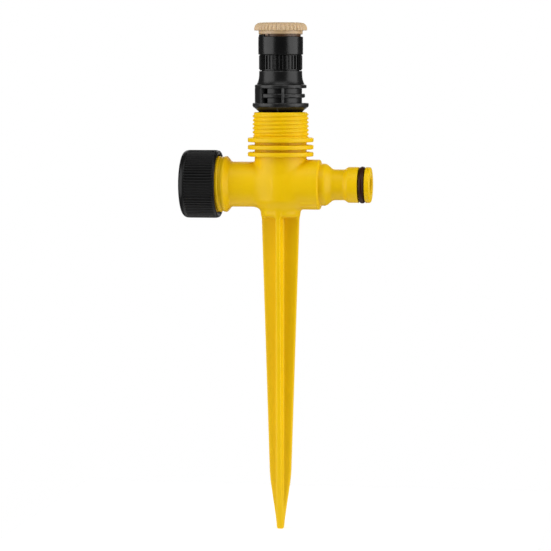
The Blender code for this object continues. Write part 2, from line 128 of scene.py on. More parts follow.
SKIN = 0.02           # keeps surfaces that would coincide apart

# Where the blended core stops, inside the turned ends that are joined to it.
CORE_TOP = 13.6
CORE_PORT_END = 23.0
CORE_SHOULDER_END = 15.0

# Reach of the fillets between the parts of the core.
DOME_FILLET = 2.2
PORT_FILLETS = (3.4, 1.0)        # under the arms, and over them
SHOULDER_FILLETS = (1.9, 0.9)
BLADE_FILLET = 0.9
SPIKE_FILLET = 1.3

# Riser's windows, between its flanges: ribs, a raised pad, and a pocket beside it.
WINDOWS = (37.05, 43.75)
WAIST_R = 9.75
RIB_ANGLE = 14.5
RIB_HALF = 3.5
RIB_R = 11.45
RIB_CROWN = 0.55
PAD_ANGLES = (-112.5, -38.5)
PAD_R = 11.78
POCKET_ANGLES = (-38.0, -28.0)
POCKET_DEPTH = 1.8

# Ribs and teeth to grip by, and the arc's stop and lug.
CAP_RIBS = 72
CAP_RIB_DEPTH = 0.4
GRIP_RIBS = 36
GRIP_DEPTH = 0.75
GRIP_SHARP = 38.0     # the grip's own limit in place of SHARP
CAP_TEETH = 38
TOOTH_DEPTH = 0.5
STOP_ANGLES = (-67.5, -38.5)
STOP_RISE = 0.9
LUG_ANGLES = (-36.0, -26.0)
LUG_DROP = 0.7
SLOT_ANGLE = 35.0

# --------------------------------------------------------------- mesh building


def smoothstep(low, high, value):
    """0 below low, 1 above high, and an S curve between; low may be above high."""
    t = np.clip((value - low) / (high - low), 0.0, 1.0)
    return t * t * (3.0 - 2.0 * t)


def rounded(corners, closed=True, steps=4):
    """Points along corners of (radius, height, rounding)."""
    count = len(corners)
    points = []
    for i, (radius, height, cut) in enumerate(corners):
        corner = Vector((radius, height))
        if cut == 0.0 or (not closed and i in (0, count - 1)):
            points.append(corner)
            continue
        before = Vector(corners[i - 1][:2]) - corner
        after = Vector(corners[(i + 1) % count][:2]) - corner
        start = corner + before.normalized() * min(cut, before.length / 2)
        end = corner + after.normalized() * min(cut, after.length / 2)
        for k in range(steps + 1):
            t = k / steps
            points.append((1 - t) ** 2 * start + 2 * t * (1 - t) * corner + t * t * end)
    return points


def densified(points, low, high, step, least_r=0.0, closed=True):
    """Adds points between low and high, on the stretches outside least_r."""
    result = []
    count = len(points)
    for i, point in enumerate(points):
        result.append(point)
        if i == count - 1 and not closed:
            break
        after = points[(i + 1) % count]
        if min(point.x, after.x) < least_r:
            continue
        if max(point.y, after.y) < low or min(point.y, after.y) > high:
            continue
        parts = max(1, math.ceil((after - point).length / step))
        result += [point.lerp(after, k / parts) for k in range(1, parts)]
    return result


def mesh_object(name, vertices, faces, place=Matrix(), sharp=SHARP):
    """A smooth-shaded object of welded millimetre points, moved to its place."""
    mesh = bpy.data.meshes.new(name)
    mesh.from_pydata((np.asarray(vertices, dtype=float) * MM).tolist(), [], faces)
    bm = bmesh.new()
    bm.from_mesh(mesh)
    bmesh.ops.remove_doubles(bm, verts=bm.verts, dist=MERGE)
    bmesh.ops.dissolve_degenerate(bm, edges=bm.edges, dist=MERGE)
    bmesh.ops.recalc_face_normals(bm, faces=bm.faces)
    bm.to_mesh(mesh)
    bm.free()
    mesh.transform(Matrix.Translation((0.0, 0.0, ARMS_Z * MM)) @ place)
    mesh.shade_smooth()
    mesh.set_sharp_from_angle(angle=math.radians(sharp))
    obj = bpy.data.objects.new(name, mesh)
    bpy.context.scene.collection.objects.link(obj)
    return obj


def lathe(name, points, angles, shape=None, closed=True, place=Matrix(), sharp=SHARP):
    """Rings of quads through (radius, height) points; shape moves them by angle."""
    grid = np.array([tuple(p) for p in points])
    turn = np.asarray(angles, dtype=float)[None, :]
    radius = np.repeat(grid[:, :1], turn.size, axis=1)
    height = np.repeat(grid[:, 1:], turn.size, axis=1)
    if shape:
        radius, height = shape(radius, height, turn)
    across = np.radians(turn)
    vertices = np.stack([radius * np.sin(across), -radius * np.cos(across), height], axis=-1)
    rings, columns = radius.shape
    faces = []
    for i in range(rings if closed else rings - 1):
        lower = (i + 1) % rings
        for j in range(columns):
            right = (j + 1) % columns
            faces.append((i * columns + j, lower * columns + j,
                          lower * columns + right, i * columns + right))
    return mesh_object(name, vertices.reshape(-1, 3), faces, place, sharp)


def even_angles(count):
    """Angles of count even columns round an axis."""
    return np.arange(count) * 360.0 / count


def with_steps(angles, edges, width=0.25):
    """Even angles plus a pair of close ones at each edge, for crisp steps."""
    extra = [edge + side for edge in edges for side in (-width, width)]
    return np.unique(np.round(np.concatenate([angles, np.mod(extra, 360.0)]), 4))


def in_sector(turn, first, last):
    """1 inside the sector between two angles, 0 outside."""
    return (np.mod(turn - first, 360.0) < np.mod(last - first, 360.0)).astype(float)


def net(distance, xs, ys, zs):
    """A closed mesh where distance(x, y, z) is zero, one vertex to a mixed cell."""
    axes = (xs, ys, zs)
    grid = np.meshgrid(*axes, indexing="ij")
    value = distance(*grid)
    cells = tuple(len(a) - 1 for a in axes)
    total = np.zeros(cells + (3,))
    crossings = np.zeros(cells)
    quads = []
    for axis in range(3):
        near = [slice(None)] * 3
        far = [slice(None)] * 3
        near[axis], far[axis] = slice(0, -1), slice(1, None)
        near, far = tuple(near), tuple(far)
        a, b = value[near], value[far]
        crossed = (a < 0) != (b < 0)
        share = np.where(crossed, a / np.where(crossed, a - b, 1.0), 0.0)
        spots = np.stack([g[near] + share * (g[far] - g[near]) for g in grid], axis=-1)
        others = [k for k in range(3) if k != axis]
        for du in (0, 1):
            for dv in (0, 1):
                pick = [slice(None)] * 3
                pick[others[0]] = slice(du, du + cells[others[0]])
                pick[others[1]] = slice(dv, dv + cells[others[1]])
                pick = tuple(pick)
                total += np.where(crossed[pick][..., None], spots[pick], 0.0)
                crossings += crossed[pick]
        quads.append((axis, others, np.argwhere(crossed), a))
    active = crossings > 0
    index = np.full(cells, -1)
    index[active] = np.arange(active.sum())
    vertices = total[active] / crossings[active][:, None]
    faces = []
    for axis, (u, v), edges, start in quads:
        for edge in edges:
            around = []
            for du, dv in ((-1, -1), (0, -1), (0, 0), (-1, 0)):
                cell = edge.copy()
                cell[u] += du
                cell[v] += dv
                around.append(int(index[tuple(cell)]))
            faces.append(around)
    return settled(vertices, distance), faces


def settled(points, distance, rounds=4, step=0.01):
    """Moves points along the slope of distance until it is zero there."""
    for _ in range(rounds):
        x, y, z = points.T
        here = distance(x, y, z)
        slope = np.stack([
            distance(x + step, y, z) - distance(x - step, y, z),
            distance(x, y + step, z) - distance(x, y - step, z),
            distance(x, y, z + step) - distance(x, y, z - step),
        ], axis=-1) / (2 * step)
        steepness = np.maximum((slope ** 2).sum(axis=-1), 0.2)
        points = points - slope * (here / steepness)[:, None]
    return points


def combined(target, tools, operation):
    """Joins tools to target, or cuts them from it, and removes the tools."""
    for tool in tools:
        modifier = target.modifiers.new(tool.name, "BOOLEAN")
        modifier.operation = operation
        modifier.solver = "MANIFOLD"
        modifier.object = tool
    graph = bpy.context.evaluated_depsgraph_get()
    mesh = bpy.data.meshes.new_from_object(target.evaluated_get(graph))
    target.modifiers.clear()
    target.data = mesh
    for tool in tools:
        bpy.data.objects.remove(tool, do_unlink=True)
    mesh.shade_smooth()
    mesh.set_sharp_from_angle(angle=math.radians(SHARP))
    return target


ON_SPIGOT = Matrix.Rotation(math.radians(90), 4, "Y")
ON_PORT = Matrix.Rotation(math.radians(-90), 4, "Y")


def thread_ridge(height, turn, start, pitch=PITCH):
    """0 in the root and 1 on the crest of a right-hand thread with rounded flanks."""
    phase = 2.0 * math.pi * ((height - start) / pitch - turn / 360.0)
    return smoothstep(0.0, 1.0, 0.62 + 0.62 * np.cos(phase))


def fluting(turn, count):
    """0 on the crest of each of count rounded ribs round the axis, 1 in the notches between."""
    return (2.0 * np.mod(turn * count / 360.0, 1.0) - 1.0) ** 2


def between(value, low, high, fade):
    """1 from low to high, fading to 0 outside them."""
    return smoothstep(low - fade, low, value) * smoothstep(high + fade, high, value)


# ------------------------------------------------------------- yellow moulding


def smooth_min(a, b, reach):
    """The smaller of two distances, with a fillet where they differ by less than reach."""
    near = np.maximum(reach - np.abs(a - b), 0.0) / reach
    return np.minimum(a, b) - near * near * reach / 4.0


def smooth_max(a, b, reach):
    """The larger of two distances, rounded in the same way."""
    return -smooth_min(-a, -b, reach)


def fillet(reaches, share):
    """A fillet's reach between two values."""
    under, over = reaches
    return under - (under - over) * share


def wing_reach(z):
    """Half width of the spike's wings at a height."""
    blade = WING_R + (WING_FOOT_R - WING_R) * (z - DOME_FOOT) / (WING_FOOT - DOME_FOOT)
    point = WING_FOOT_R + (TIP_R - WING_FOOT_R) * (z - WING_FOOT) / (TIP - WING_FOOT)
    return smooth_min(blade, point, 0.5)


def blade_distance(along, across, z):
    """Distance to one blade, which is thickest at the axis."""
    reach = wing_reach(z)
    half = BLADE_HALF + BLADE_DRAFT * np.clip(1.0 - np.abs(along) / WING_R, 0.0, 1.0)
    half = np.minimum(half, BLADE_SHARE * reach)
    return smooth_max(np.abs(across) - half, np.abs(along) - reach, 0.8)


def moulding_distance(x, y, z):
    """Signed distance, about, to the tee and the spike, blended as moulded."""
    share = 0.5 + 0.5 * np.cos(math.pi * np.clip((TAPER_TOP - z) / TAPER_LENGTH, 0.0, 1.0))
    tube = np.hypot(x, y) - (TUBE_FOOT_R + (TUBE_R - TUBE_FOOT_R) * share)
    tube = smooth_max(tube, DOME_FOOT - z, DOME_FILLET)
    tube = np.maximum(tube, z - CORE_TOP)
    port = np.maximum(np.hypot(y, z) - PORT_R, np.maximum(x - 1.0, -CORE_PORT_END - x))
    shoulder = np.hypot(y, z) - SHOULDER_R + SKIN
    shoulder = np.maximum(shoulder, np.maximum(-x - 1.0, x - CORE_SHOULDER_END))
    over = smoothstep(2.0, 9.0, z)
    tee = smooth_min(tube, port, fillet(PORT_FILLETS, over))
    tee = smooth_min(tee, shoulder, fillet(SHOULDER_FILLETS, over))
    blade = smooth_min(blade_distance(x, y, z), blade_distance(y, x, z), BLADE_FILLET)
    blade = smooth_max(np.maximum(blade, z - SPIKE_TOP), TIP - z, 0.7)
    return smooth_min(tee, blade, SPIKE_FILLET)


def stepped(*stretches):
    """Coordinates over stretches of (from, to, step)."""
    pieces = [np.arange(low, high, step) for low, high, step in stretches]
    return np.unique(np.round(np.concatenate(pieces), 6))


def moulding_core():
    """The tee and the spike, without the turned ends that are joined to them."""
    xs = stepped((-24.2, -9.0, 0.5), (-9.0, -6.0, 0.5), (-6.0, 6.0, 0.4), (6.0, 16.4, 0.5))
    ys = stepped((-13.1, -9.4, 0.5), (-9.4, 9.4, 0.4), (9.4, 13.2, 0.5))
    zs = stepped((TIP - 0.9, TIP + 3.0, 0.4), (TIP + 3.0, -22.0, 1.6), (-22.0, 14.8, 0.5))
    vertices, faces = net(moulding_distance, xs, ys, zs)
    return mesh_object("spike_moulding", vertices, faces)


def socket_shell():
    """The upright's threaded end and its three flange rings, as a solid."""
    top = SOCKET_TOP
    corners = [(0.0, top, 0.0), (THREAD_ROOT_R - 0.1, top, 0.5), (THREAD_ROOT_R, 22.0, 0.2),
               (12.85, 21.65, 0.15), (12.85, 21.3, 0.1)]
    for middle in FLANGE_HEIGHTS:
        low = middle - FLANGE_HALF
        corners += [
            (FLANGE_R, middle + FLANGE_HALF, 0.55), (FLANGE_R, low, 0.55),
            (TUBE_R, low, 0.18), (TUBE_R, middle - 2.2, 0.18),
        ]
    corners[-2:] = [(TUBE_R - SKIN, 12.8, 0.2), (TUBE_R - SKIN, 11.0, 0.0), (0.0, 11.0, 0.0)]
    points = rounded(corners, closed=False)
    points = densified(points, 21.9, top - 0.2, PITCH / 9, least_r=11.0, closed=False)

    def shape(radius, height, turn):
        fade = smoothstep(21.9, 22.6, height) * smoothstep(top - 0.1, top - 0.9, height)
        outer = radius > THREAD_ROOT_R - 0.8
        ridge = thread_ridge(height, turn, SOCKET_THREAD_START)
        return radius + np.where(outer, fade * ridge * THREAD_DEPTH, 0.0), height

    return lathe("socket_shell", points, even_angles(192), shape, closed=False)


def port_shell():
    """The side port's collar and thread, as a solid."""
    end = PORT_END
    points = rounded([
        (0.0, end, 0.0), (THREAD_ROOT_R - 0.2, end, 0.4), (THREAD_ROOT_R, 28.8, 0.3),
        (12.4, 28.0, 0.3), (12.4, 26.2, 0.4), (THREAD_R, 25.5, 0.4), (THREAD_R, 24.7, 0.5),
        (PORT_R + SKIN, 22.6, 0.5), (PORT_R + SKIN, 21.0, 0.0), (0.0, 21.0, 0.0),
    ], closed=False)
    points = densified(points, 26.0, end - 0.5, PITCH / 9, least_r=11.0, closed=False)

    def shape(radius, height, turn):
        fade = smoothstep(26.7, 27.5, height) * smoothstep(end, end - 0.9, height)
        outer = radius > THREAD_ROOT_R - 0.8
        ridge = thread_ridge(height, turn, PORT_THREAD_START)
        lifted = np.minimum(radius + fade * ridge * THREAD_DEPTH, THREAD_R)
        return np.where(outer, lifted, radius), height

    return lathe("port_shell", points, even_angles(192), shape, closed=False, place=ON_PORT)


def spigot_shell():
    """The stepped spigot with its O-ring groove, as a solid."""
    groove = RING_OUTER_R - 2.5
    near, far = RING_AT - RING_GROOVE_HALF, RING_AT + RING_GROOVE_HALF
    points = rounded([
        (0.0, NOSE_END, 0.0), (NOSE_R, NOSE_END, 1.0), (NOSE_R, far, 0.15), (groove, far, 0.2),
        (groove, near, 0.2), (NOSE_R, near, 0.15), (NOSE_R, 31.2, 0.6), (NECK_R, 29.6, 0.6),
        (NECK_R, 24.2, 1.2), (STEP_R, 21.2, 1.0), (STEP_R, 18.35, 0.3), (SHOULDER_R, 18.25, 0.6),
        (SHOULDER_R, 14.0, 0.0), (0.0, 14.0, 0.0),
    ], closed=False, steps=6)
    return lathe("spigot_shell", points, even_angles(112), closed=False, place=ON_SPIGOT)


def bore_tool(name, corners, place=Matrix()):
    """A turned solid to cut a bore with."""
    return lathe(name, rounded(corners, closed=False), even_angles(96), closed=False, place=place)


def spike_moulding():
    """The whole yellow moulding: core, turned ends and bores."""
    body = moulding_core()
    combined(body, [socket_shell(), port_shell(), spigot_shell()], "UNION")
    tools = [
        bore_tool("socket_bore", [
            (0.0, SOCKET_TOP + 1.0, 0.0), (11.1, SOCKET_TOP + 1.0, 0.0),
            (10.95, SOCKET_TOP - 0.1, 0.0), (SOCKET_BORE_R, SOCKET_TOP - 0.6, 0.3),
            (SOCKET_BORE_R, SOCKET_FLOOR, 0.0), (CHAMBER_R, SOCKET_FLOOR, 0.4),
            (CHAMBER_R, CHAMBER_FLOOR, 2.0), (0.0, CHAMBER_FLOOR, 0.0)]),
        bore_tool("port_bore", [
            (0.0, PORT_END + 1.0, 0.0), (PORT_BORE_R + 0.5, PORT_END + 1.0, 0.0),
            (PORT_BORE_R, PORT_END - 0.4, 0.4), (PORT_BORE_R, 1.0, 0.0), (0.0, 1.0, 0.0)], ON_PORT),
        bore_tool("spigot_bore", [
            (0.0, NOSE_END + 1.0, 0.0), (NOSE_BORE_R + 0.9, NOSE_END + 1.0, 0.0),
            (NOSE_BORE_R, NOSE_END - 0.4, 0.4), (NOSE_BORE_R, 0.0, 0.0), (0.0, 0.0, 0.0)], ON_SPIGOT),
    ]
    return combined(body, tools, "DIFFERENCE")


def spigot_ring():
    """The O-ring, oval as its groove squeezes it."""
    half_width, half_depth = 1.3, 1.1
    section = []
    for a in np.radians(even_angles(24)):
        radius = RING_OUTER_R - half_depth * (1.0 - math.cos(a))
        section.append(Vector((radius, RING_AT - half_width * math.sin(a))))
    return lathe("spigot_ring", section, even_angles(120), place=ON_SPIGOT)


# -------------------------------------------------------------- black mouldings


def end_cap_shell():
    """The side port's cap, ribbed outside and threaded inside."""
    floor = CAP_FACE - 2.0
    points = rounded([
        (0.0, CAP_FACE - 0.3, 0.0), (1.3, CAP_FACE - 0.3, 0.1), (1.6, CAP_FACE, 0.1),
        (CAP_R, CAP_FACE, 2.9), (CAP_R, CAP_RIM, 2.4), (14.1, CAP_RIM, 0.3), (13.15, CAP_RIM + 0.9, 0.3),
        (13.15, floor, 0.3), (0.0, floor, 0.0)], closed=False, steps=7)
    points = densified(points, 29.4, 42.6, 0.3, least_r=14.6, closed=False)
    points = densified(points, 29.0, floor, PITCH / 8, least_r=13.0, closed=False)

    def shape(radius, height, turn):
        groove = between(height, 29.8, 41.7, 1.0) * fluting(turn, CAP_RIBS)
        radius = radius - np.where(radius > 14.4, CAP_RIB_DEPTH * groove, 0.0)
        inside = (radius > 13.0) & (radius < 13.3)
        deep = between(height, CAP_RIM + 2.6, floor - 1.4, 1.2) * thread_ridge(height, turn, 25.7)
        return radius + np.where(inside, END_CAP_THREAD_DEPTH * deep, 0.0), height

    return lathe("end_cap_shell", points, even_angles(CAP_RIBS * 6), shape, closed=False, place=ON_PORT)


def riser_shell():
    """The riser, from its threaded tower down to the shank in the socket."""
    top, shoulder, waist = 58.6, 51.6, WAIST_R
    corners = [(5.6, top, 0.3), (7.9, top, 0.5), (7.6, shoulder + 0.9, 0.2), (7.6, shoulder + 0.3, 0.1),
               (8.5, shoulder + 0.3, 0.1), (8.6, shoulder, 0.05), (9.8, shoulder, 0.3)]
    for i in range(1, 12):
        t = i / 12
        corners.append((9.8 + 1.15 * t ** 3.2, shoulder - 6.1 * t, 0.0))
    corners += [
        (11.0, 45.4, 0.15), (11.8, 45.3, 0.5), (11.8, 43.7, 0.5), (waist, 43.7, 0.2), (waist, 41.3, 0.2),
        (11.1, 41.3, 0.6), (11.1, 39.4, 0.6), (waist, 39.4, 0.2), (waist, 37.1, 0.2),
        (12.8, 37.1, 0.45), (12.8, 35.4, 0.55), (10.0, 33.2, 0.3), (10.0, 32.2, 0.15),
        (8.3, 32.2, 0.15), (8.3, 30.0, 0.15), (10.0, 30.0, 0.3), (9.95, 20.5, 0.9),
        (6.3, 20.5, 0.4), (6.3, 29.5, 0.2), (5.6, 30.5, 0.2),
    ]
    points = rounded(corners)
    points = densified(points, shoulder + 1.0, top - 0.5, RISER_PITCH / 8, least_r=7.3)
    points = densified(points, 21.2, 29.6, PITCH / 8, least_r=9.0)
    points = densified(points, 37.3, 43.6, 0.35, least_r=9.0)

    def shape(radius, height, turn):
        tower = (radius > 7.3) & (radius < 8.0) & (height > shoulder)
        fine = between(height, shoulder + 1.2, top - 0.9, 0.4)
        fine = fine * (1.0 - thread_ridge(height, turn, 52.4, RISER_PITCH))
        radius = radius - np.where(tower, TOWER_THREAD_DEPTH * fine, 0.0)
        shank = (radius > 9.0) & (height < 29.8)
        coarse = between(height, 21.9, 29.0, 0.5) * (1.0 - thread_ridge(height, turn, 22.3))
        radius = radius - np.where(shank, SHANK_THREAD_DEPTH * coarse, 0.0)
        windows = (height > WINDOWS[0]) & (height < WINDOWS[1]) & (radius > 9.0) & (radius < PAD_R)
        from_rib = np.abs(np.mod(turn - RIB_ANGLE + 90.0, 180.0) - 90.0)
        crown = RIB_R - RIB_CROWN * (from_rib / RIB_HALF) ** 2
        radius = np.where(windows & (from_rib < RIB_HALF), np.maximum(radius, crown), radius)
        pocket = windows & (radius < 9.9) & (in_sector(turn, *POCKET_ANGLES) > 0.0)
        radius = np.where(pocket, radius - POCKET_DEPTH, radius)
        pad = windows & (in_sector(turn, *PAD_ANGLES) > 0.0)
        return np.where(pad, np.maximum(radius, PAD_R), radius), height

    rib_edges = [middle + side for middle in (RIB_ANGLE, RIB_ANGLE + 180.0) for side in (-RIB_HALF, RIB_HALF)]
    angles = with_steps(even_angles(360), (*rib_edges, *PAD_ANGLES, POCKET_ANGLES[1]))
    return lathe("riser_shell", points, angles, shape)


def nozzle_shell():
    """The nozzle's sleeve: smooth above, ribbed below, with the arc's stop on its rim."""
    top, grip_top, grip_foot, bottom = 67.1, 58.9, 52.3, 51.76
    points = rounded([
        (9.35, top, 0.25), (10.2, top, 0.3), (10.2, grip_top + 0.25, 0.2), (9.9, grip_top, 0.1),
        (9.9, grip_foot, 0.15), (9.55, grip_foot, 0.1), (9.55, bottom, 0.06), (8.9, bottom, 0.2),
        (8.2, bottom + 0.5, 0.2), (8.2, 61.0, 0.3), (5.0, 61.0, 0.2), (5.0, 62.2, 0.2), (9.35, 62.2, 0.3),
    ])
    points = densified(points, grip_foot, grip_top + 0.3, 0.22, least_r=9.7)
    points = densified(points, bottom + 1.2, 58.7, RISER_PITCH / 7, least_r=8.0)

    def shape(radius, height, turn):
        grip = (radius > 9.7) & (height < grip_top + 0.1)
        groove = between(height, grip_foot - 0.1, grip_top - 0.45, 0.3)
        groove = groove * smoothstep(0.1, 0.3, fluting(turn, GRIP_RIBS))
        band = between(height, grip_top - 0.3, grip_top - 0.1, 0.12)
        radius = radius - np.where(grip, np.maximum(GRIP_DEPTH * groove, 0.3 * band), 0.0)
        bore = (radius > 8.0) & (radius < 8.4) & (height < 60.0)
        deep = between(height, bottom + 2.0, 58.0, 0.8) * thread_ridge(height, turn, 52.9, RISER_PITCH)
        radius = radius + np.where(bore, SLEEVE_THREAD_DEPTH * deep, 0.0)
        rim = (height > top - 0.5) & (radius > 9.2)
        stop = STOP_RISE * in_sector(turn, *STOP_ANGLES) * smoothstep(top - 0.5, top - 0.2, height)
        return radius, height + np.where(rim, stop, 0.0)

    angles = with_steps(even_angles(GRIP_RIBS * 10), STOP_ANGLES)
    return lathe("nozzle_shell", points, angles, shape, sharp=GRIP_SHARP)


# ------------------------------------------------------------- tan cap and screw


def arc_cap_shell():
    """The tan cap: toothed rim, dished top, and the skirt that runs down in the sleeve."""
    top, foot, dish = DISC_TOP, 69.9, DISC_TOP - 0.5
    seat = SCREW_TOP - 1.3
    rim = [(8.1, dish, 0.2), (8.6, top, 0.25), (10.2, top - 0.15, 0.5), (11.5, top - 1.0, 0.7),
           (12.0, top - 2.2, 0.4), (12.0, foot, 0.25), (10.05, foot, 0.3)]
    neck = [
        (9.95, 68.1, 0.15), (9.15, 68.1, 0.1), (9.15, 67.1, 0.1), (7.85, 67.1, 0.1), (7.85, 65.6, 0.1),
        (8.5, 65.6, 0.1), (8.5, 64.9, 0.2), (6.6, 64.9, 0.2), (6.6, 71.3, 0.3), (3.0, 71.3, 0.3),
        (3.0, 64.9, 0.2), (1.55, 64.9, 0.15), (1.55, seat, 0.1), (2.5, seat, 0.1), (2.5, dish, 0.15),
    ]
    points = rounded(rim + neck, steps=6)
    points = densified(points, foot, top, 0.3, least_r=11.0)

    def shape(radius, height, turn):
        out = smoothstep(10.4, 11.4, radius)
        radius = radius - TOOTH_DEPTH * out * fluting(turn, CAP_TEETH)
        lug = (radius > 9.3) & (radius < 10.3) & (height < 68.6)
        drop = LUG_DROP * in_sector(turn, *LUG_ANGLES) * smoothstep(68.6, 68.15, height)
        return radius, height - np.where(lug, drop, 0.0)

    angles = with_steps(even_angles(CAP_TEETH * 8), LUG_ANGLES)
    return lathe("arc_cap_shell", points, angles, shape)


def flow_screw_shell():
    """The slotted screw that sets the throw."""
    top, seat, end = SCREW_TOP, SCREW_TOP - 1.0, 47.0
    points = rounded([
        (0.0, top, 0.0), (2.2, top, 0.25), (2.2, seat, 0.1), (1.25, seat, 0.1),
        (1.25, end, 0.3), (0.0, end, 0.0)], closed=False)
    points = densified(points, end + 0.5, 60.0, SCREW_PITCH / 6, least_r=1.1, closed=False)

    def shape(radius, height, turn):
        cut = between(height, end + 0.9, 59.4, 0.3) * (1.0 - thread_ridge(height, turn, end, SCREW_PITCH))
        return radius - np.where(radius > 1.1, SCREW_THREAD_DEPTH * cut, 0.0), height

    screw = lathe("flow_screw_shell", points, even_angles(48), shape, closed=False)
    bm = bmesh.new()
    bmesh.ops.create_cube(bm, size=1.0)
    bm.transform(Matrix.Diagonal((0.6, 8.0, 1.2, 1.0)))
    bm.transform(Matrix.Rotation(math.radians(SLOT_ANGLE), 4, "Z"))
    bm.transform(Matrix.Translation((0.0, 0.0, top)))
    vertices = [v.co.copy() for v in bm.verts]
    faces = [[v.index for v in f.verts] for f in bm.faces]
    bm.free()
    return combined(screw, [mesh_object("screw_slot", vertices, faces)], "DIFFERENCE")


# ------------------------------------------------------------------- materials

# Noise scales, in features a metre, from slow drifts of colour to the mould's grain.
CLOUDS = 55.0
DULLING = 160.0
PATCHES = 420.0
STREAKS = 700.0
FLECKS = 1400.0
GRAIN = 2600.0
TURNING = 1800.0

BUMP_DEPTH = 0.00003
SOFT_DEPTH = 0.0015


def link(tree, source, target):
    """Links one socket to another."""
    tree.links.new(source, target)


def noise(tree, coordinates, scale, detail=3.0, roughness=0.5, stretch=None):
    """A noise texture's output over object coordinates, in features a metre."""
    if stretch:
        mapping = tree.nodes.new("ShaderNodeMapping")
        mapping.inputs["Scale"].default_value = stretch
        link(tree, coordinates, mapping.inputs["Vector"])
        coordinates = mapping.outputs["Vector"]
    texture = tree.nodes.new("ShaderNodeTexNoise")
    texture.inputs["Scale"].default_value = scale
    texture.inputs["Detail"].default_value = detail
    texture.inputs["Roughness"].default_value = roughness
    link(tree, coordinates, texture.inputs["Vector"])
    return texture.outputs["Fac"]


def ranged(tree, value, from_low, from_high, to_low, to_high):
    """A value mapped from one range to another, and kept in it."""
    node = tree.nodes.new("ShaderNodeMapRange")
    for name, number in zip(("From Min", "From Max", "To Min", "To Max"),
                            (from_low, from_high, to_low, to_high)):
        node.inputs[name].default_value = number
    link(tree, value, node.inputs["Value"])
    return node.outputs["Result"]


def mixed(tree, share, first, second):
    """A colour between two; each is a colour or a socket."""
    node = tree.nodes.new("ShaderNodeMix")
    node.data_type = "RGBA"
    link(tree, share, node.inputs[0])
    for socket, value in ((node.inputs[6], first), (node.inputs[7], second)):
        if isinstance(value, bpy.types.NodeSocket):
            link(tree, value, socket)
        else:
            socket.default_value = (*value, 1.0)
    return node.outputs[2]


def summed(tree, first, second, operation="ADD"):
    """Two values added, or put through another operation; each is a number or a socket."""
    node = tree.nodes.new("ShaderNodeMath")
    node.operation = operation
    for socket, value in zip(node.inputs, (first, second)):
        if isinstance(value, bpy.types.NodeSocket):
            link(tree, value, socket)
        else:
            socket.default_value = value
    return node.outputs["Value"]


def moulded(name, deep, base, wear_and_highlight, roughness, grain, scuffs, specular=0.5, metallic=0.0, soft=0.0,
            edges=(0.53, 0.62)):
    """A moulded finish: cloudy colour, a fine grain, faint scuffs, and pointy edges lightened, as wear and as
    a painted highlight.
    """
    material = bpy.data.materials.new(name)
    material.use_nodes = True
    tree = material.node_tree
    shader = tree.nodes["Principled BSDF"]
    shader.inputs["Specular IOR Level"].default_value = specular
    shader.inputs["Metallic"].default_value = metallic
    shader.inputs["Subsurface Weight"].default_value = soft
    shader.inputs["Subsurface Radius"].default_value = (1.0, 0.55, 0.1)
    shader.inputs["Subsurface Scale"].default_value = SOFT_DEPTH
    where = tree.nodes.new("ShaderNodeTexCoord").outputs["Object"]
    cloud = ranged(tree, noise(tree, where, CLOUDS, 2.0), 0.3, 0.7, 0.0, 1.0)
    colour = mixed(tree, cloud, deep, base)
    fleck = noise(tree, where, FLECKS, 2.0)
    colour = mixed(tree, ranged(tree, fleck, 0.62, 0.78, 0.0, 0.35), colour, deep)
    # Pointy edges take the lighter edge colour: wear, and a painted highlight where that colour is pale, as
    # on the satin riser.
    point = tree.nodes.new("ShaderNodeNewGeometry").outputs["Pointiness"]
    edge = ranged(tree, point, *edges, 0.0, 1.0)
    patchy = ranged(tree, noise(tree, where, PATCHES, 4.0), 0.35, 0.7, 0.0, 0.7)
    edge_wear_and_highlight = summed(tree, edge, patchy, "MULTIPLY")
    colour = mixed(tree, edge_wear_and_highlight, colour, wear_and_highlight)
    link(tree, colour, shader.inputs["Base Color"])
    streaks = noise(tree, where, STREAKS, 3.0, stretch=(1.0, 1.0, 0.12))
    scratch = ranged(tree, streaks, 0.6, 0.72, 0.0, scuffs)
    dull = noise(tree, where, DULLING, 3.0)
    dull = ranged(tree, dull, 0.25, 0.75, roughness - 0.04, roughness + 0.05)
    link(tree, summed(tree, dull, scratch), shader.inputs["Roughness"])
    fine = noise(tree, where, GRAIN, 2.0)
    broad = noise(tree, where, PATCHES, 1.0)
    height = summed(tree, fine, summed(tree, broad, 1.6, "MULTIPLY"))
    height = summed(tree, height, summed(tree, scratch, -0.8, "MULTIPLY"))
    bump = tree.nodes.new("ShaderNodeBump")
    bump.inputs["Strength"].default_value = grain
    bump.inputs["Distance"].default_value = BUMP_DEPTH
    link(tree, height, bump.inputs["Height"])
    link(tree, bump.outputs["Normal"], shader.inputs["Normal"])
    return material


def painted_shade_below(material, height, fade, shade_colour):
    """Paints shade into a finish's colour below a height; the painted shade grows from fade above it to fade
    below it.
    """
    tree = material.node_tree
    colour = tree.nodes["Principled BSDF"].inputs["Base Color"]
    where = next(n for n in tree.nodes if n.bl_idname == "ShaderNodeTexCoord").outputs["Object"]
    split = tree.nodes.new("ShaderNodeSeparateXYZ")
    link(tree, where, split.inputs["Vector"])
    level = (ARMS_Z + height) * MM
    share = ranged(tree, split.outputs["Z"], level - fade * MM, level + fade * MM, 1.0, 0.0)
    link(tree, mixed(tree, share, colour.links[0].from_socket, shade_colour), colour)


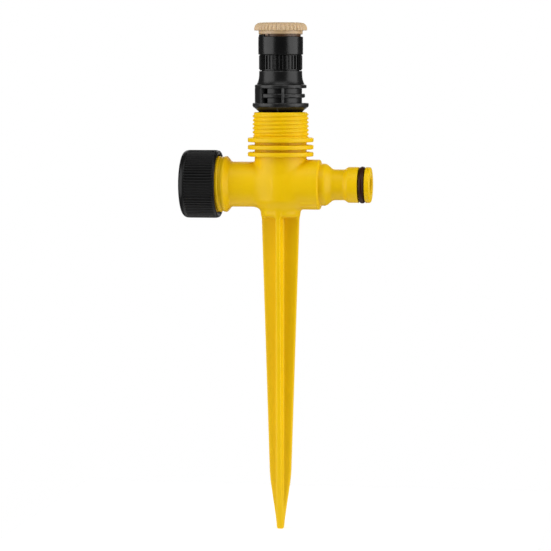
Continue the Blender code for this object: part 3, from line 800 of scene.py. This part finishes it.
def turned_steel():
    """Zinc-bright steel with the rings that turning leaves."""
    material = moulded("turned_steel", (0.42, 0.42, 0.44), (0.55, 0.55, 0.57), (0.75, 0.75, 0.76),
                       0.28, 0.3, 0.1, metallic=1.0)
    tree = material.node_tree
    bump = next(n for n in tree.nodes if n.bl_idname == "ShaderNodeBump")
    where = next(n for n in tree.nodes if n.bl_idname == "ShaderNodeTexCoord").outputs["Object"]
    rings = tree.nodes.new("ShaderNodeTexWave")
    rings.wave_type = "RINGS"
    rings.rings_direction = "Z"
    rings.inputs["Scale"].default_value = TURNING
    rings.inputs["Distortion"].default_value = 0.6
    link(tree, where, rings.inputs["Vector"])
    height = summed(tree, bump.inputs["Height"].links[0].from_socket, rings.outputs["Fac"])
    link(tree, height, bump.inputs["Height"])
    return material


# --------------------------------------------------------------------- assembly


def place(piece, body, slot, material, *nodes):
    """Rides a piece on its body and gives it its finish and what it replaces; the slot argument is not used.
    """
    piece.data.materials.clear()
    piece.data.materials.append(material)
    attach(piece, body)
    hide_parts(*nodes)


def dress(node, material):
    """Gives a CAD node that stays in sight its finished material."""
    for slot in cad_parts[node].material_slots:
        slot.material = material


yellow = moulded("yellow_finish", (0.80, 0.50, 0.0), (0.85, 0.54, 0.0), (0.91, 0.64, 0.01),
                 0.40, 0.18, 0.12, specular=0.18, soft=0.06)
# Painted shade: the yellow darkens towards the foot of the spike, for light that falls off lower down.
painted_shade_below(yellow, -85.0, 70.0, (0.68, 0.43, 0.0))
black = moulded("black_finish", (0.0015, 0.0015, 0.0015), (0.0030, 0.0030, 0.0031),
                (0.012, 0.012, 0.012), 0.26, 0.10, 0.10, specular=0.32)
# Painted highlight: the satin riser's pale edge colour and low edge limits light up its flange rims.
satin = moulded("satin_black_finish", (0.0025, 0.0025, 0.0025), (0.0045, 0.0045, 0.0047),
                (0.09, 0.09, 0.09), 0.31, 0.10, 0.05, specular=0.30, edges=(0.5, 0.54))
matt = moulded("matt_black_finish", (0.0020, 0.0020, 0.0020), (0.0045, 0.0045, 0.0046),
               (0.012, 0.012, 0.012), 0.34, 0.08, 0.08, specular=0.22)
tan = moulded("tan_finish", (0.53, 0.365, 0.20), (0.60, 0.43, 0.25), (0.65, 0.48, 0.30),
              0.42, 0.12, 0.1, soft=0.06)
# Painted shade: the tan turns dark brown below the neck, so the skirt and lug seen in the spray slot look
# shaded.
painted_shade_below(tan, 68.35, 0.4, (0.085, 0.034, 0.010))
rubber = moulded("rubber_finish", (0.022, 0.005, 0.0015), (0.034, 0.009, 0.003), (0.05, 0.018, 0.006),
                 0.38, 0.3, 0.2, specular=0.16)
screen = moulded("screen_finish", (0.50, 0.51, 0.52), (0.58, 0.59, 0.60), (0.70, 0.70, 0.70),
                 0.5, 0.4, 0.12)
steel = turned_steel()

place(spike_moulding(), "spike", "yellow_plastic", yellow, "spike_body")
place(spigot_ring(), "spike", "seal_rubber", rubber, "spigot_o_ring")
place(end_cap_shell(), "cap", "black_plastic", matt, "end_cap")
place(riser_shell(), "riser", "black_plastic", satin, "riser_adapter")
place(nozzle_shell(), "nozzle", "black_plastic", black, "nozzle_body")
place(arc_cap_shell(), "arc_cap", "tan_plastic", tan, "arc_adjust_cap")
place(flow_screw_shell(), "flow_screw", "screw_steel", steel, "flow_screw")

for node in ("end_cap_washer", "riser_seal_ring", "nozzle_washer", "arc_seal_ring"):
    dress(node, rubber)
for node in ("filter_screen", "throttle_plug"):
    dress(node, screen)
dress("arc_core", black)

# ----------------------------------------------------------------- stage and view

CAMERA_AZIMUTH = math.radians(9.3)
CAMERA_HEIGHT = 50.0
CAMERA_DISTANCE = 1.15
FRAME_WIDTH = 0.2521          # metres across the picture at the object
CENTRE_SHIFT = -2.35 * MM     # from the upright's axis to the picture's centre
CENTRE_HEIGHT = -41.7

FLOOR_HALF = 0.12
FLOOR_TONE = 0.93
FLOOR_GLOW = 0.42
WORLD_SEEN = 1.0
WORLD_GIVEN = 0.09

# Azimuth from the camera's side, elevation, then distance, width and height in
# metres, and watts.
SOFT_BOXES = {
    "left_box": (-67.0, 6.0, 0.8, 0.9, 1.1, 8.4),
    "right_box": (67.0, 6.0, 0.8, 0.9, 1.1, 8.8),
    "top_box": (0.0, 62.0, 0.9, 0.8, 0.5, 2.6),
    "back_box": (180.0, 8.0, 1.0, 0.6, 0.9, 2.6),
}


def toward(azimuth, elevation):
    """The direction out from the object for two angles in radians, azimuth from the front."""
    flat = math.cos(elevation)
    return Vector((math.sin(azimuth) * flat, -math.cos(azimuth) * flat, math.sin(elevation)))


def facing(position, target):
    """A world matrix at position whose -Z looks at target, +Y up."""
    back = (position - target).normalized()
    right = Vector((0.0, 0.0, 1.0)).cross(back).normalized()
    axes = Matrix((right, back.cross(right), back)).transposed()
    return Matrix.Translation(position) @ axes.to_4x4()


def add_camera():
    """The camera, a little above the arms and turned towards the spigot."""
    data = bpy.data.cameras.new("camera")
    data.sensor_width = 36.0
    data.clip_end = 20.0
    camera = bpy.data.objects.new("camera", data)
    bpy.context.scene.collection.objects.link(camera)
    across = Vector((math.cos(CAMERA_AZIMUTH), math.sin(CAMERA_AZIMUTH), 0.0)) * CENTRE_SHIFT
    target = across + Vector((0.0, 0.0, (ARMS_Z + CENTRE_HEIGHT) * MM))
    position = across + toward(CAMERA_AZIMUTH, 0.0) * CAMERA_DISTANCE
    position.z = (ARMS_Z + CAMERA_HEIGHT) * MM
    data.lens = data.sensor_width * (position - target).length / FRAME_WIDTH
    camera.matrix_world = facing(position, target)
    bpy.context.scene.camera = camera


def add_soft_box(name, azimuth, elevation, distance, width, height, power):
    """An area light that faces the tee."""
    data = bpy.data.lights.new(name, "AREA")
    data.shape = "RECTANGLE"
    data.size = width
    data.size_y = height
    data.energy = power
    light = bpy.data.objects.new(name, data)
    bpy.context.scene.collection.objects.link(light)
    middle = Vector((0.0, 0.0, ARMS_Z * MM))
    direction = toward(CAMERA_AZIMUTH + math.radians(azimuth), math.radians(elevation))
    light.matrix_world = facing(middle + direction * distance, middle)


def add_floor():
    """A plain pale floor at the tip's level."""
    level = BODY_LOW[2] * MM
    corners = ((-1, -1), (1, -1), (1, 1), (-1, 1))
    mesh = bpy.data.meshes.new("floor")
    mesh.from_pydata([(x * FLOOR_HALF, y * FLOOR_HALF, level) for x, y in corners], [], [(0, 1, 2, 3)])
    floor = bpy.data.objects.new("floor", mesh)
    bpy.context.scene.collection.objects.link(floor)
    material = bpy.data.materials.new("pale_floor")
    material.use_nodes = True
    shader = material.node_tree.nodes["Principled BSDF"]
    shader.inputs["Base Color"].default_value = (FLOOR_TONE, FLOOR_TONE, FLOOR_TONE, 1.0)
    shader.inputs["Roughness"].default_value = 0.9
    shader.inputs["Emission Color"].default_value = (1.0, 1.0, 1.0, 1.0)
    shader.inputs["Emission Strength"].default_value = FLOOR_GLOW
    mesh.materials.append(material)


def add_world(seen, given):
    """A plain background: seen is what the camera sees, given is what it lights with."""
    world = bpy.data.worlds.new("studio")
    world.use_nodes = True
    tree = world.node_tree
    background = tree.nodes["Background"]
    background.inputs["Color"].default_value = (1.0, 1.0, 1.0, 1.0)
    ray = tree.nodes.new("ShaderNodeLightPath")
    strength = ranged(tree, ray.outputs["Is Camera Ray"], 0.0, 1.0, given, seen)
    link(tree, strength, background.inputs["Strength"])
    bpy.context.scene.world = world


add_camera()
add_floor()
add_world(WORLD_SEEN, WORLD_GIVEN)
for box_name, box in SOFT_BOXES.items():
    add_soft_box(box_name, *box)
bpy.context.scene.view_settings.view_transform = "Standard"
